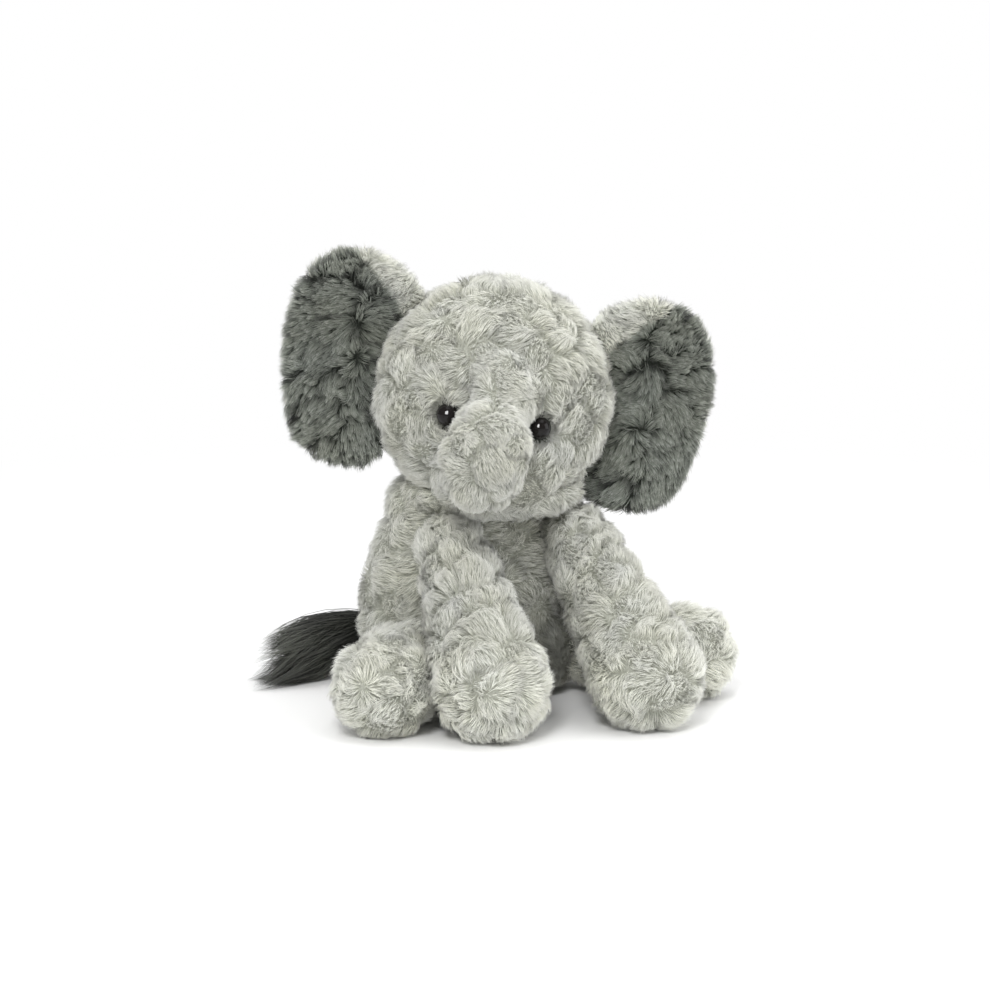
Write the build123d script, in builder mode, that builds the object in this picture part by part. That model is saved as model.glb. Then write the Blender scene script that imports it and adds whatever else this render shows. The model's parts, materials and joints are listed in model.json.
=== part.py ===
from build123d import *
import os
from math import asin, cos, degrees, radians, sin

# A seated stuffed elephant in long-pile plush. It faces -Y, +Z is up, and its own right side is -X.
# The origin is on the floor, under the middle of the shoulders. All sizes are in millimetres.
# Skins are the plush backing with the roots of its pile, so the pile stands a little outside them.

# Layers
SKIN = 2.0                 # plush skin of the body, head and limbs
EAR_SKIN = 1.5             # plush skin of the ears
GAP = 0.5                  # clearance between a skin and the stuffing behind it
SEAM = 0.4                 # clearance between two panels at a seam
JOINT_GAP = 1.5            # clearance round a limb's root in its socket
REACH = 300                # longer than anything here, for cutting blocks

# Torso: half-width and half-depth at each height
TORSO_X = -3
TORSO_Y = 7
TORSO_RINGS = ((0, 42, 34), (15, 58, 47), (40, 64, 51), (70, 61, 48), (95, 51, 41), (118, 42, 34))
BELLY_HALF_WIDTH = 26
POUCH_RADIUS = 27
POUCH_HEIGHT = 15
POUCH_BASE = 7
POUCH_CLOTH = 0.8
POUCH_EDGE = 0.4           # rounding of the pouch's edge, as a part of its height
PELLET_RADIUS = 2.6
PELLET_PITCH = 6.5
PELLET_ROWS = 6

# Head and neck: the head is a ball that turns on a concentric pad of wadding
HEAD_RADIUS = 61
HEAD_CENTRE = (0, -10, 168.5)
HEAD_YAW = -24             # the face looks towards the toy's right
HEAD_TILT = 8.5            # and the left ear hangs lower than the right
GUSSET_HALF_WIDTH = 19
THROAT_TOP = -36           # the throat panel starts this far below the head's centre
NECK_RADIUS = 29
NECK_GAP = 10              # depth of the neck between head and torso
NECK_PAD = 8
THREAD_RADIUS = 0.8

# Safety eyes
EYE_SPREAD = 24            # angle of each eye from the middle of the face
EYE_DROP = -6
EYE_HEIGHT = 4.8
EYE_CURVE = 6.2            # radius of the dome's surface
SHANK_RADIUS = 2.2
SHANK_LENGTH = 12
WASHER_RADIUS = 6.5
WASHER_THICKNESS = 1.2
WASHER_DEPTH = 3
WASHER_FIT = 0.05          # clearance between a washer and its shank

# Trunk, in the head's own frame: root, bend and tip
TRUNK_ROOT = (0, -56, 0)
TRUNK_BEND = (0, -80, -15)
TRUNK_TIP = (0, -79, -30)
TRUNK_RADII = (14.5, 19, 16.5)
TRUNK_LIFT = 20            # how far the trunk lifts and drops
TRUNK_DROP = 5

# Ears, in the head's own frame
EAR_PLACE = (66, 12, 0)
EAR_SWEEP = 10             # the ears stand this much forward of square
EAR_CUP = 120              # radius of the ear's dish
EAR_DISH = (10, 5)         # the dish's deepest point, out and up from the ear's centre
EAR_BLOCK = 40             # deeper than the dish, for cutting
EAR_PADDING = 4.4
EAR_PADDING_SIZE = 0.95    # the padding's outline, as a part of the skins'
EAR_OUTLINE = (            # out from the ear's centre, and up
    (-26, 40), (-10, 55), (14, 66), (38, 59), (50, 25), (47, -12), (37, -38), (17, -47), (-14, -33)
)
EAR_ROOT_GAP = 3.5
LEFT_EAR_DROP = 4

# Legs: root centre, foot centre, root radius and foot radius
FORELEG_ROOT = (37, -35, 92)
FORELEG_RADII = (16, 28.5)
RIGHT_FOREFOOT = (-38, -89, 27.5)
LEFT_FOREFOOT = (46, -103, 27.5)
HINDLEG_ROOT = (58, -24, 25)
HINDLEG_RADII = (22.5, 25)
RIGHT_HINDFOOT = (-86, -57, 24)
LEFT_HINDFOOT = (94, -60, 24)
SOLE_SEAM = 0.6            # the sole's seam, as a part of the foot's radius

# Tail
TAIL_ROOT = (-12, 66, 32)
TAIL_TIP = (-102, 62, 12)
TAIL_TUBE_RADII = (5, 4)
TAIL_TUBE_LENGTH = 34
TAIL_SKIN = 1.2
TUFT_START = 22
TUFT_WIDEST = 44
TUFT_RADIUS = 13
TUFT_ROOT_SWELL = 2        # the tuft's root stands this far outside the tube
TUFT_TAPER = (0.7, 0.76)   # radius and distance, as parts of the widest radius and the whole length
TUFT_TIP_RADIUS = 1.5


def save(piece, label):
    """Name a finished piece and write it to its own file."""
    piece.part.label = label
    export_step(piece.part, f"parts/{label}.step")


def between(start, end):
    """Plane at start whose Y axis points at end and whose X axis is level."""
    along = (Vector(*end) - Vector(*start)).normalized()
    level = along.cross(Vector(0, 0, 1)).normalized()
    return Plane(origin=start, x_dir=level, z_dir=level.cross(along))


def limb(start, end, radii, inset=0):
    """Round-ended limb: a ball at each end, and the cone that is tangent to both."""
    plane = between(start, end)
    length = (Vector(*end) - Vector(*start)).length
    start_radius = radii[0] - inset
    end_radius = radii[1] - inset
    slope = degrees(asin((end_radius - start_radius) / length))
    with BuildPart() as form:
        with BuildSketch(plane):
            with BuildLine():
                near = CenterArc((0, 0), start_radius, -90, 90 - slope)
                far = CenterArc((0, length), end_radius, -slope, 90 + slope)
                Line(near @ 1, far @ 0)
                Line(far @ 1, near @ 0)
            make_face()
        revolve(axis=Axis(plane.origin, plane.y_dir))
    return form.part


def ball(centre, radius):
    """Ball used to cut a socket."""
    with BuildPart(Plane(centre)) as form:
        Sphere(radius)
    return form.part


def beyond(plane):
    """Everything on the +Z side of a plane."""
    with BuildPart(plane) as block:
        Box(REACH, REACH, REACH, align=(Align.CENTER, Align.CENTER, Align.MIN))
    return block.part


def slab(plane, half_width):
    """Everything within half_width of a plane."""
    with BuildPart(plane) as block:
        Box(REACH, REACH, 2 * half_width)
    return block.part


os.makedirs("parts", exist_ok=True)

# ---------------------------------------------------------------- torso


def mirrored(point):
    """The same point on the toy's right side."""
    return (-point[0], point[1], point[2])


LEGS = (
    ("right_foreleg", mirrored(FORELEG_ROOT), RIGHT_FOREFOOT, FORELEG_RADII),
    ("left_foreleg", FORELEG_ROOT, LEFT_FOREFOOT, FORELEG_RADII),
    ("right_hindleg", mirrored(HINDLEG_ROOT), RIGHT_HINDFOOT, HINDLEG_RADII),
    ("left_hindleg", HINDLEG_ROOT, LEFT_HINDFOOT, HINDLEG_RADII),
)


def torso_form(inset):
    """Pear-shaped body, drawn in by inset all round."""
    with BuildPart() as form:
        for height, half_width, half_depth in TORSO_RINGS:
            with BuildSketch(Plane((TORSO_X, TORSO_Y, height))):
                Ellipse(half_width - inset, half_depth - inset)
        loft()
    return form.part


def torso_layer(outside, floor):
    """Part of the torso above floor, with the dish for the neck and the limb sockets cut away."""
    with BuildPart() as layer:
        add(outside)
        add(beyond(Plane.XY.offset(floor)), mode=Mode.INTERSECT)
        add(ball(HEAD_CENTRE, HEAD_RADIUS + NECK_GAP), mode=Mode.SUBTRACT)
        for _, root, foot, radii in LEGS:
            add(limb(root, foot, radii, -JOINT_GAP), mode=Mode.SUBTRACT)
    return layer.part


def belly_block(half_width):
    """Upright block in front of the torso's middle."""
    with BuildPart(Plane((TORSO_X, TORSO_Y, 0))) as block:
        Box(2 * half_width, REACH, REACH, align=(Align.CENTER, Align.MAX, Align.CENTER))
    return block.part


with BuildPart() as torso_wall:
    add(torso_layer(torso_form(0), SKIN + SEAM))
    add(torso_form(SKIN), mode=Mode.SUBTRACT)

with BuildPart() as torso_belly_panel:
    add(torso_wall.part)
    add(belly_block(BELLY_HALF_WIDTH), mode=Mode.INTERSECT)
save(torso_belly_panel, "torso_belly_panel")

for side, facing in (("right", (-1, 0, 0)), ("left", (1, 0, 0))):
    with BuildPart() as torso_side_panel:
        add(torso_wall.part)
        add(belly_block(BELLY_HALF_WIDTH + SEAM), mode=Mode.SUBTRACT)
        add(beyond(Plane((TORSO_X, 0, 0), z_dir=facing).offset(SEAM / 2)), mode=Mode.INTERSECT)
    save(torso_side_panel, f"torso_{side}_panel")

with BuildPart() as torso_seat_panel:
    add(torso_form(0))
    add(slab(Plane.XY, SKIN), mode=Mode.INTERSECT)
save(torso_seat_panel, "torso_seat_panel")

pouch_plane = Plane((TORSO_X, TORSO_Y, POUCH_BASE))


def pouch_form(inset):
    """Flat round bag with soft edges."""
    with BuildPart(pouch_plane.offset(inset)) as form:
        height = POUCH_HEIGHT - 2 * inset
        Cylinder(POUCH_RADIUS - inset, height, align=(Align.CENTER, Align.CENTER, Align.MIN))
        fillet(form.edges().filter_by(GeomType.CIRCLE), height * POUCH_EDGE)
    return form.part


with BuildPart() as torso_stuffing:
    add(torso_layer(torso_form(SKIN + GAP), SKIN + GAP))
    add(pouch_form(-GAP), mode=Mode.SUBTRACT)
save(torso_stuffing, "torso_stuffing")

with BuildPart() as pellet_pouch:
    add(pouch_form(0))
    add(pouch_form(POUCH_CLOTH), mode=Mode.SUBTRACT)
save(pellet_pouch, "pellet_pouch")

with BuildPart(pouch_plane.offset(POUCH_HEIGHT / 2)) as pellets:
    with GridLocations(PELLET_PITCH, PELLET_PITCH, PELLET_ROWS, PELLET_ROWS):
        Sphere(PELLET_RADIUS)
save(pellets, "pellets")

# ---------------------------------------------------------------- neck


def neck_layer(inner, outer, radius):
    """Bowl-shaped pad under the head, cut round at radius."""
    with BuildPart(Plane(HEAD_CENTRE)) as layer:
        Cylinder(radius, REACH, align=(Align.CENTER, Align.CENTER, Align.MAX))
        Sphere(outer, mode=Mode.INTERSECT)
        Sphere(inner, mode=Mode.SUBTRACT)
    return layer.part


neck_inside = HEAD_RADIUS + (NECK_GAP - NECK_PAD) / 2

with BuildPart() as neck_wadding:
    add(neck_layer(neck_inside, neck_inside + NECK_PAD, NECK_RADIUS))
save(neck_wadding, "neck_wadding")

thread_ring = NECK_RADIUS + 2 * THREAD_RADIUS
thread_drop = (neck_inside + NECK_PAD / 2) * cos(asin(thread_ring / (neck_inside + NECK_PAD / 2)))

with BuildPart(Plane(HEAD_CENTRE).offset(-thread_drop)) as neck_gathering_thread:
    Torus(thread_ring, THREAD_RADIUS)
save(neck_gathering_thread, "neck_gathering_thread")

# ---------------------------------------------------------------- head and eyes

turned = Location(HEAD_CENTRE) * Location((0, 0, 0), (0, 0, HEAD_YAW))
head_frame = Plane(turned * Location((0, 0, 0), (0, HEAD_TILT, 0)))


def in_head(point):
    """Point given in the head's own frame, as a world position."""
    return head_frame.from_local_coords(Vector(*point))


def eye_plane(sign):
    """Plane on the head's surface at an eye, facing out."""
    across = radians(sign * EYE_SPREAD)
    down = radians(EYE_DROP)
    outward = Vector(sin(across) * cos(down), -cos(across) * cos(down), sin(down))
    centre = in_head(outward * HEAD_RADIUS)
    return Plane(centre, z_dir=centre - Vector(*HEAD_CENTRE))


def eye_hole(sign, radius, depth):
    """Round hole from the surface inwards."""
    with BuildPart(eye_plane(sign)) as hole:
        Cylinder(radius, 2 * depth)
    return hole.part


def trunk_form(inset):
    """Thick trunk that comes forward and then hangs down."""
    root, bend, tip = (in_head(point) for point in (TRUNK_ROOT, TRUNK_BEND, TRUNK_TIP))
    with BuildPart() as form:
        add(limb(root, bend, TRUNK_RADII[:2], inset))
        add(limb(bend, tip, TRUNK_RADII[1:], inset))
    return form.part


def trunk_sweep():
    """Space that the trunk's root needs in the head, wide enough for its lift and drop."""
    root = in_head(TRUNK_ROOT)
    along = in_head(TRUNK_BEND) - root
    swing = (TRUNK_LIFT + TRUNK_DROP) / 2
    spread = along.length * sin(radians(swing))
    middle = along.rotate(Axis((0, 0, 0), -head_frame.x_dir), TRUNK_LIFT - swing)
    return limb(root, root + middle, (TRUNK_RADII[0], TRUNK_RADII[1] + spread), -JOINT_GAP)


trunk_space = trunk_sweep()


def head_skin(blocks):
    """Ball-shaped skin, open at the trunk and the eyes, kept inside every block."""
    with BuildPart() as skin:
        add(ball(HEAD_CENTRE, HEAD_RADIUS))
        add(trunk_space, mode=Mode.SUBTRACT)
        for sign in (-1, 1):
            add(eye_hole(sign, SHANK_RADIUS + GAP / 2, 2 * SKIN), mode=Mode.SUBTRACT)
        add(ball(HEAD_CENTRE, HEAD_RADIUS - SKIN), mode=Mode.SUBTRACT)
        for block in blocks:
            add(block, mode=Mode.INTERSECT)
    return skin.part


middle_plane = Plane(head_frame.origin, z_dir=head_frame.x_dir)
throat_plane = head_frame.offset(THROAT_TOP)

with BuildPart() as head_gusset:
    above_throat = beyond(throat_plane.offset(SEAM / 2))
    add(head_skin([slab(middle_plane, GUSSET_HALF_WIDTH), above_throat]))
save(head_gusset, "head_gusset")

with BuildPart() as throat_panel:
    below_throat = beyond(Plane(throat_plane.offset(-SEAM / 2).origin, z_dir=-head_frame.z_dir))
    add(head_skin([slab(middle_plane, GUSSET_HALF_WIDTH), below_throat]))
save(throat_panel, "throat_panel")

with BuildPart() as head_right_panel:
    right_plane = Plane(head_frame.origin, z_dir=-head_frame.x_dir)
    add(head_skin([beyond(right_plane.offset(GUSSET_HALF_WIDTH + SEAM))]))
save(head_right_panel, "head_right_panel")

with BuildPart() as head_left_panel:
    mirror(head_right_panel.part, about=middle_plane)
save(head_left_panel, "head_left_panel")

with BuildPart() as head_stuffing:
    add(ball(HEAD_CENTRE, HEAD_RADIUS - SKIN - GAP))
    add(trunk_space, mode=Mode.SUBTRACT)
    for sign in (-1, 1):
        add(eye_hole(sign, WASHER_RADIUS + GAP, SHANK_LENGTH + GAP), mode=Mode.SUBTRACT)
save(head_stuffing, "head_stuffing")

for side, sign in (("right", -1), ("left", 1)):
    plane = eye_plane(sign)

    with BuildPart(plane) as eye:
        with Locations((0, 0, SEAM + EYE_HEIGHT - EYE_CURVE)):
            Sphere(EYE_CURVE)
        split(bisect_by=plane.offset(SEAM), keep=Keep.TOP)
        with Locations((0, 0, SEAM)):
            Cylinder(SHANK_RADIUS, SHANK_LENGTH, align=(Align.CENTER, Align.CENTER, Align.MAX))
    save(eye, f"{side}_eye")

    with BuildPart(plane.offset(-WASHER_DEPTH)) as eye_washer:
        Cylinder(WASHER_RADIUS, WASHER_THICKNESS, align=(Align.CENTER, Align.CENTER, Align.MAX))
        Cylinder(SHANK_RADIUS + WASHER_FIT, REACH, mode=Mode.SUBTRACT)
    save(eye_washer, f"{side}_eye_washer")

# ---------------------------------------------------------------- trunk

trunk_middle = Plane(in_head(TRUNK_ROOT), z_dir=head_frame.x_dir)

for side, sign in (("right", -1), ("left", 1)):
    with BuildPart() as trunk_panel:
        add(trunk_form(0))
        add(trunk_form(SKIN), mode=Mode.SUBTRACT)
        half = Plane(trunk_middle.origin, z_dir=head_frame.x_dir * sign).offset(SEAM / 2)
        add(beyond(half), mode=Mode.INTERSECT)
    save(trunk_panel, f"trunk_{side}_panel")

with BuildPart() as trunk_stuffing:
    add(trunk_form(SKIN + GAP))
save(trunk_stuffing, "trunk_stuffing")

# ---------------------------------------------------------------- ears


def ear_plane(sign, drop):
    """Plane of an ear, with X running out from the head and Z facing forward."""
    x, y, z = EAR_PLACE
    out = (sign * cos(radians(EAR_SWEEP)), -sin(radians(EAR_SWEEP)), 0)
    forward = (-sign * sin(radians(EAR_SWEEP)), -cos(radians(EAR_SWEEP)), 0)
    origin = in_head((sign * x, y, z - drop))
    x_dir = in_head(out) - head_frame.origin
    z_dir = in_head(forward) - head_frame.origin
    return Plane(origin, x_dir=x_dir, z_dir=z_dir)


def ear_layer(sign, drop, front, back, shrink=1):
    """Slice of a dished ear between two depths, measured back from the middle of its thickness."""
    plane = ear_plane(sign, drop)
    dish = plane.from_local_coords(Vector(EAR_DISH[0], EAR_DISH[1] * sign, EAR_CUP))
    outline = [(out * shrink, up * shrink * sign) for out, up in EAR_OUTLINE]
    with BuildPart() as layer:
        with BuildSketch(plane):
            with BuildLine():
                rim = Spline(*outline)
                Line(rim @ 1, rim @ 0)
            make_face()
        extrude(amount=EAR_BLOCK, both=True)
        add(ball(dish, EAR_CUP + back), mode=Mode.INTERSECT)
        add(ball(dish, EAR_CUP + front), mode=Mode.SUBTRACT)
        add(ball(HEAD_CENTRE, HEAD_RADIUS + EAR_ROOT_GAP), mode=Mode.SUBTRACT)
    return layer.part


half_padding = EAR_PADDING / 2
skin_start = half_padding + GAP

for side, sign, drop in (("right", -1, 0), ("left", 1, LEFT_EAR_DROP)):
    with BuildPart() as ear_lining:
        add(ear_layer(sign, drop, -skin_start - EAR_SKIN, -skin_start))
    save(ear_lining, f"{side}_ear_lining")

    with BuildPart() as ear_back:
        add(ear_layer(sign, drop, skin_start, skin_start + EAR_SKIN))
    save(ear_back, f"{side}_ear_back")

    with BuildPart() as ear_padding:
        add(ear_layer(sign, drop, -half_padding, half_padding, EAR_PADDING_SIZE))
    save(ear_padding, f"{side}_ear_padding")

# ---------------------------------------------------------------- legs


def build_leg(name, root, foot, radii):
    """One leg: outer and inner panels, a round sole, and the stuffing."""
    level = Vector(foot[0] - root[0], foot[1] - root[1], 0).normalized()
    outward = Vector(-level.Y, level.X, 0) * (1 if root[0] > 0 else -1)
    seam_plane = Plane(Vector(*foot) + level * (SOLE_SEAM * radii[1]), z_dir=level)

    with BuildPart() as skin:
        add(limb(root, foot, radii))
        add(beyond(Plane.XY), mode=Mode.INTERSECT)
        add(limb(root, foot, radii, SKIN), mode=Mode.SUBTRACT)

    for panel, facing in (("outer_panel", outward), ("inner_panel", -outward)):
        with BuildPart() as leg_panel:
            add(skin.part)
            add(beyond(seam_plane.offset(-SEAM / 2)), mode=Mode.SUBTRACT)
            add(beyond(Plane(root, z_dir=facing).offset(SEAM / 2)), mode=Mode.INTERSECT)
        save(leg_panel, f"{name}_{panel}")

    with BuildPart() as sole:
        add(skin.part)
        add(beyond(seam_plane.offset(SEAM / 2)), mode=Mode.INTERSECT)
    save(sole, f"{name}_sole")

    with BuildPart() as stuffing:
        add(limb(root, foot, radii, SKIN + GAP))
    save(stuffing, f"{name}_stuffing")


for leg in LEGS:
    build_leg(*leg)

# ---------------------------------------------------------------- tail

tail_plane = between(TAIL_ROOT, TAIL_TIP)
tail_length = (Vector(*TAIL_TIP) - Vector(*TAIL_ROOT)).length
tube_end = Vector(*TAIL_ROOT) + tail_plane.y_dir * TAIL_TUBE_LENGTH

with BuildPart() as tail_tube:
    add(limb(TAIL_ROOT, tube_end, TAIL_TUBE_RADII))
    add(limb(TAIL_ROOT, tube_end, TAIL_TUBE_RADII, TAIL_SKIN), mode=Mode.SUBTRACT)
save(tail_tube, "tail_tube")

with BuildPart() as tail_cord:
    add(limb(TAIL_ROOT, tube_end, TAIL_TUBE_RADII, TAIL_SKIN + GAP))
save(tail_cord, "tail_cord")

with BuildPart() as tail_tuft:
    with BuildSketch(tail_plane):
        with BuildLine():
            start = (0, TUFT_START)
            shoulder = (TAIL_TUBE_RADII[0] + TUFT_ROOT_SWELL, TUFT_START)
            taper = (TUFT_RADIUS * TUFT_TAPER[0], tail_length * TUFT_TAPER[1])
            edge = Spline(shoulder, (TUFT_RADIUS, TUFT_WIDEST), taper, (TUFT_TIP_RADIUS, tail_length))
            Polyline(edge @ 1, (0, tail_length), start, shoulder)
        make_face()
    revolve(axis=Axis(tail_plane.origin, tail_plane.y_dir))
    add(limb(TAIL_ROOT, tube_end, TAIL_TUBE_RADII, -GAP), mode=Mode.SUBTRACT)
save(tail_tuft, "tail_tuft")
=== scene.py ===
import json
from math import radians, sin, cos, pi

import bmesh
import bpy
import numpy as np
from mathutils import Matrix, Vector
from mathutils.bvhtree import BVHTree
from mathutils.kdtree import KDTree


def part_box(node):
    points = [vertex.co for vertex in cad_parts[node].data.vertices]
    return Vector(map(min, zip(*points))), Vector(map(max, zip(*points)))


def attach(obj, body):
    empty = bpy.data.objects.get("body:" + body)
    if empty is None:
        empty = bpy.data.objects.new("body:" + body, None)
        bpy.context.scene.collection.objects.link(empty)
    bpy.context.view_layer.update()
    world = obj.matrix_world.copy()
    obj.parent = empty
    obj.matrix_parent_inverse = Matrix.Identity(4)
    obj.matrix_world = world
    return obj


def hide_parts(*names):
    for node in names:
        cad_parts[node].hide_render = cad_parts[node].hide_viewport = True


# Stuffed elephant in long-pile plush. Each body gets a sewn skin, swelled by cloth pressure between
# its seams, and a pile of real fibres grown from that skin. Lengths are in metres.

MM = 0.001
PILE = 7.8 * MM            # length of a fibre on the body
FIBRE = 0.32 * MM          # width of a fibre
FIBRE_STEPS = 2            # straight lengths along a fibre
SINK = 0.8 * MM            # how deep a fibre's root sits in the skin
PATCH = 16 * MM            # distance between one patch of the pile and the next
PATCH_SIZES = (0.6, 1.4)   # smallest and largest patch, as parts of that
PATCH_TRIES = 6000         # random places tried for patches on one skin
RELIEF = 2.4 * MM          # height of a patch above the creases round it
SOFTNESS = 0.6             # how far a fibre is shaded like the skin under it
LOCK_SIZE = 7              # fibres that lean together into one lock
UNTIDY = 0.26              # how far each fibre strays from the way its patch lies
LENGTHS = (0.82, 1.1)      # shortest and longest fibre, as parts of the pile's length
DARKEST = -0.35            # lowest shade of a lock
VOXEL = 3.6 * MM           # skin mesh size
EAR_VOXEL = 1.8 * MM
FLOOR_CLEARANCE = 0.4 * MM  # the lowest that any skin or fibre reaches
INSET = 0.8 * MM           # a skin starts this much inside its CAD panels, and swells back
SEAM_REACH = 2.6 * MM      # a skin's point this near two panels is on their seam
SIM_FRAMES = 20
PRESSURE = 4.0
SWELL_LIMIT = 3.5 * MM     # the furthest that the cloth pressure moves a skin
PIECE_FIBRES = 19500       # most fibres in one piece
FORELEG_FIBRES = 32000     # so a foreleg has two pieces of pile
NECK_ANGLE = radians(37)   # the neck's ring, from straight down, seen from the head's centre
NECK_REACH = 67 * MM       # and its distance from that centre
EYE_EDGE = 5.2 * MM        # no fibre grows nearer than this to an eye's centre
EYE_RING = (5.5 * MM, 12 * MM)  # the pile is combed away from an eye between these distances
COLLAR = 3 * MM            # thickness added round the top edge of the torso's skin
HEAD_ROOM = 14 * MM        # pile nearer the head than this is clipped short
TAIL_HAIRS = 3600
TAIL_HAIR = 0.42 * MM      # width of a hair
TAIL_WISPS = 26            # the hairs end in this many wisps
CHUNK = 4000               # points compared with every patch at a time
SEED = 11

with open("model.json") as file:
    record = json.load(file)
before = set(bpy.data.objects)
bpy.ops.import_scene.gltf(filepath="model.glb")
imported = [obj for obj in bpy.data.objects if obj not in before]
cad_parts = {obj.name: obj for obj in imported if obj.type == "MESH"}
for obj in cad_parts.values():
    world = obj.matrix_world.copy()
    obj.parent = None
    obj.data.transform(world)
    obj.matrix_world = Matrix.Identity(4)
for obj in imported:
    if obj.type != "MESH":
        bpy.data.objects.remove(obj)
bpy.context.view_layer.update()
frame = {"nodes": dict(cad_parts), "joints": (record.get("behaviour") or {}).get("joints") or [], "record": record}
nodes = frame["nodes"]
joints = {joint["name"]: joint for joint in frame["joints"]}


# ---------------------------------------------------------------- small helpers


def unit(vectors):
    """Vectors scaled to length one, along the last axis."""
    length = np.linalg.norm(vectors, axis=-1, keepdims=True)
    return vectors / np.maximum(length, 1e-12)


def smoothstep(low, high, value):
    """0 below low, 1 above high, and smooth between them."""
    t = np.clip((value - low) / (high - low), 0, 1)
    return t * t * (3 - 2 * t)


def centre_of(*names):
    """Middle of the box round some CAD nodes."""
    corners = np.array([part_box(name) for name in names], float)
    return (corners[:, 0].min(0) + corners[:, 1].max(0)) / 2


def vertices_of(mesh):
    """Vertex positions of a mesh as an array."""
    flat = np.empty(len(mesh.vertices) * 3, np.float32)
    mesh.vertices.foreach_get("co", flat)
    return flat.reshape(-1, 3).astype(float)


def set_vertices(mesh, points):
    """Moves every vertex of a mesh."""
    mesh.vertices.foreach_set("co", np.asarray(points, np.float32).ravel())
    mesh.update()


def normals_of(mesh):
    """Vertex normals of a mesh as an array."""
    flat = np.empty(len(mesh.vertices) * 3, np.float32)
    mesh.vertex_normals.foreach_get("vector", flat)
    return flat.reshape(-1, 3).astype(float)


def new_object(name, mesh):
    """Object for a mesh, linked to the scene."""
    thing = bpy.data.objects.new(name, mesh)
    bpy.context.scene.collection.objects.link(thing)
    return thing


def baked(thing):
    """Replaces an object's mesh by the result of its modifiers."""
    graph = bpy.context.evaluated_depsgraph_get()
    result = bpy.data.meshes.new_from_object(thing.evaluated_get(graph))
    thing.modifiers.clear()
    thing.data = result


def joint_point(name):
    """Point on a joint's axis."""
    return np.array(joints[name]["pos_m"], float)


def joint_axis(name):
    """Direction of a joint's axis."""
    return np.array(joints[name]["axis"], float)


# ---------------------------------------------------------------- where things are

HEAD = joint_point("head_turn")
HEAD_SIDE = -joint_axis("head_nod")
HEAD_UP = joint_axis("right_ear_flap")
FACE = np.cross(HEAD_SIDE, HEAD_UP)
HEAD_RADIUS = np.linalg.norm(vertices_of(nodes["head_left_panel"].data) - HEAD, axis=1).max()
DOWN = np.array((0.0, 0.0, -1.0))


def eye_point(side):
    """Point on the head's surface under an eye."""
    return HEAD + unit(centre_of(f"{side}_eye") - HEAD) * HEAD_RADIUS


EYES = [eye_point("left"), eye_point("right")]


# ---------------------------------------------------------------- materials


def material(name):
    """New node material: its nodes, its links and its principled shader."""
    result = bpy.data.materials.new(name)
    result.use_nodes = True
    tree = result.node_tree
    return result, tree, tree.nodes["Principled BSDF"]


def texture_place(tree, scale):
    """Noise texture in object space."""
    place = tree.nodes.new("ShaderNodeTexCoord")
    noise = tree.nodes.new("ShaderNodeTexNoise")
    noise.inputs["Scale"].default_value = scale
    noise.inputs["Detail"].default_value = 4
    tree.links.new(place.outputs["Object"], noise.inputs["Vector"])
    return noise


def ramp(tree, source, stops):
    """Colour ramp driven by a value."""
    node = tree.nodes.new("ShaderNodeValToRGB")
    elements = node.color_ramp.elements
    while len(elements) < len(stops):
        elements.new(0.5)
    for element, (place, colour) in zip(elements, stops):
        element.position = place
        element.color = (*colour, 1)
    tree.links.new(source, node.inputs["Fac"])
    return node.outputs["Color"]


def maths(tree, operation, first, second, third=None):
    """Maths node; each input is a socket or a number."""
    node = tree.nodes.new("ShaderNodeMath")
    node.operation = operation
    for slot_index, value in enumerate((first, second, third)):
        if value is None:
            continue
        if isinstance(value, (int, float)):
            node.inputs[slot_index].default_value = value
        else:
            tree.links.new(value, node.inputs[slot_index])
    return node.outputs[0]


def scaled(tree, colour, factor):
    """Colour times a value."""
    node = tree.nodes.new("ShaderNodeVectorMath")
    node.operation = "SCALE"
    tree.links.new(colour, node.inputs[0])
    tree.links.new(factor, node.inputs["Scale"])
    return node.outputs["Vector"]


def mixed(tree, factor, first, second):
    """Mix of two colour sockets."""
    node = tree.nodes.new("ShaderNodeMix")
    node.data_type = "RGBA"
    tree.links.new(factor, node.inputs["Factor"])
    tree.links.new(first, node.inputs[6])
    tree.links.new(second, node.inputs[7])
    return node.outputs[2]


def srgb(red, green, blue):
    """Linear colour from 0-255 display values."""
    parts = []
    for value in (red, green, blue):
        value /= 255
        parts.append(value / 12.92 if value <= 0.04045 else ((value + 0.055) / 1.055) ** 2.4)
    return tuple(parts)


def pile_material(name, cool, warm, roughness=0.8, sheen=0.25, spread=0.12, locks=(0.5, 0.56)):
    """Fibres: dark at the root and pale at the tip, each fibre and each lock its own shade; the lock's value also
    carries painted shade and painted light.
    """
    result, tree, shader = material(name)
    data = tree.nodes.new("ShaderNodeAttribute")
    data.attribute_name = "fibre"
    split = tree.nodes.new("ShaderNodeSeparateColor")
    tree.links.new(data.outputs["Color"], split.inputs["Color"])
    along, own, lock = split.outputs
    mottle = texture_place(tree, 34)
    shift = maths(tree, "MULTIPLY_ADD", mottle.outputs["Fac"], 2.6, -0.8)
    colour = mixed(tree, shift, ramp(tree, along, cool), ramp(tree, along, warm))
    shade = maths(tree, "MULTIPLY_ADD", own, spread, 1 - spread / 2)
    shade = maths(tree, "MULTIPLY", shade, maths(tree, "MULTIPLY_ADD", lock, *locks))
    tree.links.new(scaled(tree, colour, shade), shader.inputs["Base Color"])
    shader.inputs["Roughness"].default_value = roughness
    shader.inputs["Sheen Weight"].default_value = sheen
    shader.inputs["Specular IOR Level"].default_value = 0.25
    return result


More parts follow.
